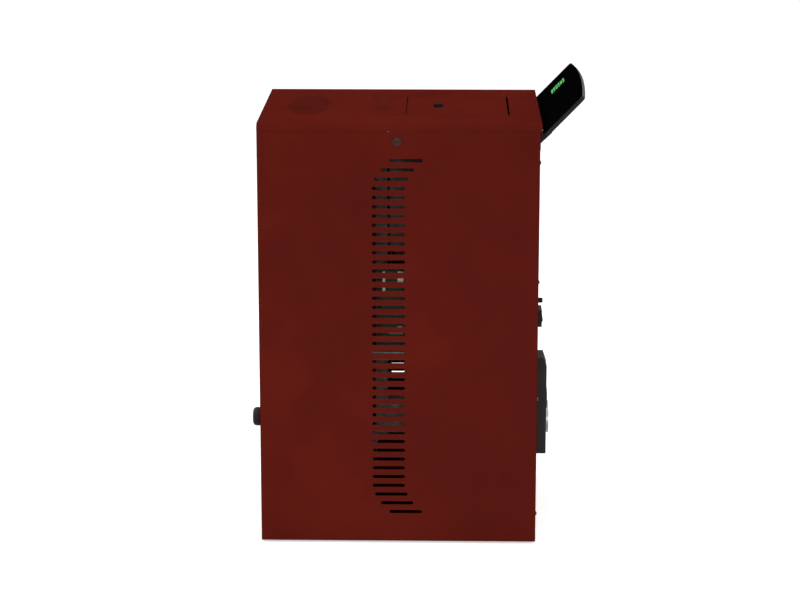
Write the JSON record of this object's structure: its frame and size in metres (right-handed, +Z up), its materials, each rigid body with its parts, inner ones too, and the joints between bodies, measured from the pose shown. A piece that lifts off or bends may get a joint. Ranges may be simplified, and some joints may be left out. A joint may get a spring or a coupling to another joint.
{
  "type": "pellet stove",
  "caption": "Free-standing pellet stove with a hinged fire door, ash drawer, lidded top hopper, side vent slots, rear flue and air spigots and a tilted control panel.",
  "frame": {"origin": "on the floor, below the middle of the whole object", "axes": "+Z up, -Y towards the user in front of the fire door, +X to that user's right"},
  "size_m": [0.526, 0.7914, 1.0754],
  "materials": {
    "red_paint": "satin powder coat",
    "galvanised_steel": "spangled zinc",
    "black_steel": "matt heat-proof paint",
    "cast_iron": "matt sand-cast",
    "liner_board": "matt pressed board",
    "ceramic_glass": "clear, faintly amber",
    "black_glass": "polished black",
    "display": "glossy",
    "black_plastic": "fine moulded grain",
    "red_plastic": "glossy",
    "rope_seal": "knitted glass fibre",
    "silicone": "matt",
    "dark_enamel": "satin bakelite",
    "steel": "turned and ground",
    "stainless": "drawn",
    "circuit_board": "satin",
    "white_nylon": "moulded",
    "cable": "matt",
    "painted_screw": "satin",
    "lock_metal": "satin"
  },
  "bodies": {
    "stove": {"base_tray": "red_paint", "frame": "galvanised_steel", "right_side_panel": "red_paint", "left_side_panel": "red_paint", "rear_panel": "red_paint", "front_fascia": "red_paint", "top_cover": "red_paint", "rear_cover": "black_steel", "rear_screws": "painted_screw", "hopper": "galvanised_steel", "hopper_guard": "steel", "lid_hinges": "steel", "auger_tube": "black_steel", "gearmotor": "steel", "firebox_shell": "black_steel", "liner_plates": "liner_board", "brazier": "cast_iron", "air_box": "black_steel", "igniter": "stainless", "air_intake_pipe": "black_steel", "door_brackets": "steel", "heat_exchanger": "steel", "warm_air_duct": "galvanised_steel", "outlet_hood": "galvanised_steel", "room_fan_housing": "galvanised_steel", "smoke_duct": "black_steel", "flue_fan_housing": "black_steel", "flue_spigot": "stainless", "control_board": "circuit_board", "board_connectors": "white_nylon", "wiring_loom": "cable", "pressure_switch": "black_plastic", "safety_thermostat": "black_plastic", "mains_inlet": "black_plastic", "panel_bracket": "black_steel", "panel_housing": "black_plastic", "panel_glass": "black_glass", "panel_display": "display"},
    "hopper_lid": {"hopper_lid": "red_paint", "lid_seal": "silicone"},
    "fire_door": {"door_frame": "cast_iron", "door_glass": "ceramic_glass", "door_gasket": "rope_seal", "glass_clips": "stainless"},
    "door_handle": {"door_handle": "steel"},
    "ash_drawer": {"ash_pan": "galvanised_steel", "drawer_front": "red_paint", "drawer_knob": "dark_enamel"},
    "auger": {"auger_screw": "steel"},
    "flue_fan_wheel": {"flue_fan_wheel": "steel"},
    "room_fan_wheel": {"room_fan_wheel": "galvanised_steel"},
    "rocker_switch": {"rocker_switch": "black_plastic"},
    "reset_button": {"reset_button": "red_plastic"},
    "reset_cap": {"reset_cap": "black_plastic"},
    "right_panel_lock": {"right_panel_lock": "lock_metal"},
    "left_panel_lock": {"left_panel_lock": "lock_metal"},
    "foot_front_left": {"foot_front_left": "black_plastic"},
    "foot_front_right": {"foot_front_right": "black_plastic"},
    "foot_rear_left": {"foot_rear_left": "black_plastic"},
    "foot_rear_right": {"foot_rear_right": "black_plastic"}
  },
  "joints": [
    {"name": "lid_hinge", "type": "hinge", "parent": "stove", "child": "hopper_lid", "pos_m": [0, 0.20828, 0.991], "axis": [-1, 0, 0], "range_deg": [0, 85]},
    {"name": "door_swing", "type": "hinge", "parent": "stove", "child": "fire_door", "pos_m": [0.229, -0.34872, 0.56], "axis": [0, 0, 1], "range_deg": [0, 110]},
    {"name": "handle_turn", "type": "hinge", "parent": "fire_door", "child": "door_handle", "pos_m": [-0.214, -0.34872, 0.56], "axis": [0, 1, 0], "range_deg": [0, 90]},
    {"name": "drawer_slide", "type": "slide", "parent": "stove", "child": "ash_drawer", "axis": [0, -1, 0], "range_m": [0, 0.22]},
    {"name": "auger_turn", "type": "hinge", "parent": "stove", "child": "auger", "pos_m": [0, 0.20228, 0.30014], "axis": [0, -0.7071, 0.7071], "continuous": true},
    {"name": "flue_fan_turn", "type": "hinge", "parent": "stove", "child": "flue_fan_wheel", "pos_m": [-0.118, 0.11228, 0.23], "axis": [1, 0, 0], "continuous": true},
    {"name": "room_fan_turn", "type": "hinge", "parent": "stove", "child": "room_fan_wheel", "pos_m": [0.16, 0.11228, 0.25], "axis": [1, 0, 0], "continuous": true},
    {"name": "switch_rock", "type": "hinge", "parent": "stove", "child": "rocker_switch", "pos_m": [0.209, 0.29228, 0.537], "axis": [1, 0, 0], "range_deg": [-16, 0]},
    {"name": "reset_press", "type": "slide", "parent": "stove", "child": "reset_button", "axis": [0, -1, 0], "range_m": [0, 0.002], "stiffness_N_per_m": 300, "springref_m": -0.001},
    {"name": "cap_turn", "type": "hinge", "parent": "stove", "child": "reset_cap", "pos_m": [0.2, 0.29228, 0.576], "axis": [0, 1, 0], "continuous": true},
    {"name": "right_lock_turn", "type": "hinge", "parent": "stove", "child": "right_panel_lock", "pos_m": [0.26, -0.03772, 0.959], "axis": [1, 0, 0], "range_deg": [0, 90]},
    {"name": "left_lock_turn", "type": "hinge", "parent": "stove", "child": "left_panel_lock", "pos_m": [-0.26, -0.03772, 0.959], "axis": [-1, 0, 0], "range_deg": [0, 90]},
    {"name": "foot_front_left_turn", "type": "hinge", "parent": "stove", "child": "foot_front_left", "pos_m": [-0.215, -0.27772, 0.02], "axis": [0, 0, 1], "continuous": true},
    {"name": "foot_front_right_turn", "type": "hinge", "parent": "stove", "child": "foot_front_right", "pos_m": [0.215, -0.27772, 0.02], "axis": [0, 0, 1], "continuous": true},
    {"name": "foot_rear_left_turn", "type": "hinge", "parent": "stove", "child": "foot_rear_left", "pos_m": [-0.215, 0.19928, 0.02], "axis": [0, 0, 1], "continuous": true},
    {"name": "foot_rear_right_turn", "type": "hinge", "parent": "stove", "child": "foot_rear_right", "pos_m": [0.215, 0.19928, 0.02], "axis": [0, 0, 1], "continuous": true}
  ]
}
